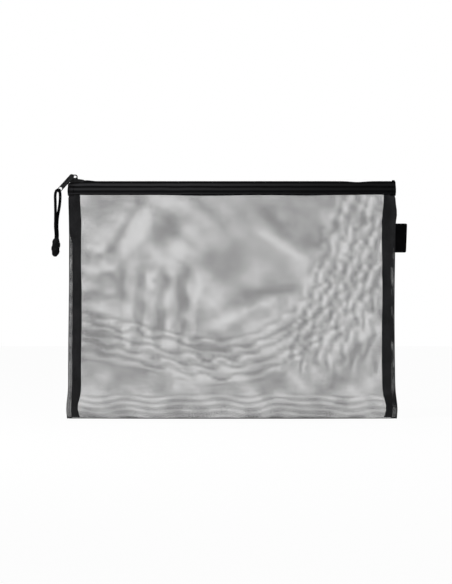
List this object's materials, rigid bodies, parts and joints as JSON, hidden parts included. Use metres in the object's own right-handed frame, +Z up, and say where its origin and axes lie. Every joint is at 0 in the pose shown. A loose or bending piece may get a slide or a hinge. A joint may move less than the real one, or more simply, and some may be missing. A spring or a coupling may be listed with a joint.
{
  "type": "zipper bag",
  "caption": "Flat see-through mesh document pouch with a black zipper along its top, bound side seams, a cord puller and a side tab.",
  "frame": {"origin": "middle of the flat underside of the bottom fold", "axes": "+X along the zipper towards the side tab, +Y from the front to the back, +Z up towards the zipper"},
  "size_m": [0.3579, 0.0207, 0.2463],
  "materials": {
    "mesh": "coated open mesh, slight gloss",
    "binding_tape": "matt woven tape",
    "ribbon": "matt woven ribbon",
    "zipper_tape": "matt knitted tape",
    "zipper_teeth": "satin nylon",
    "slider_metal": "satin black paint",
    "cord": "matt braided cord",
    "grip": "satin moulded grip"
  },
  "bodies": {
    "bag": {"front_panel": "mesh", "back_panel": "mesh", "bottom_fold": "mesh", "left_seam_binding": "binding_tape", "right_seam_binding": "binding_tape", "side_tab": "ribbon", "front_zipper_tape": "zipper_tape", "back_zipper_tape": "zipper_tape", "front_teeth": "zipper_teeth", "back_teeth": "zipper_teeth", "left_zipper_end": "zipper_tape", "right_zipper_end": "zipper_tape"},
    "slider": {"slider": "slider_metal"},
    "pull": {"pull_tab": "slider_metal"},
    "puller": {"pull_cord": "cord", "cord_grip": "grip"}
  },
  "joints": [
    {"name": "slider_travel", "type": "slide", "parent": "bag", "child": "slider", "axis": [1, 0, 0], "range_m": [0, 0.31], "deforming": ["front_teeth", "back_teeth"]},
    {"name": "pull_swing", "type": "hinge", "parent": "slider", "child": "pull", "pos_m": [-0.16105, 0, 0.24395], "axis": [0, 1, 0], "range_deg": [0, 265]},
    {"name": "cord_swing", "type": "hinge", "parent": "pull", "child": "puller", "pos_m": [-0.17353, -0.009, 0.23029], "axis": [0, 1, 0], "range_deg": [-40, 120]}
  ]
}
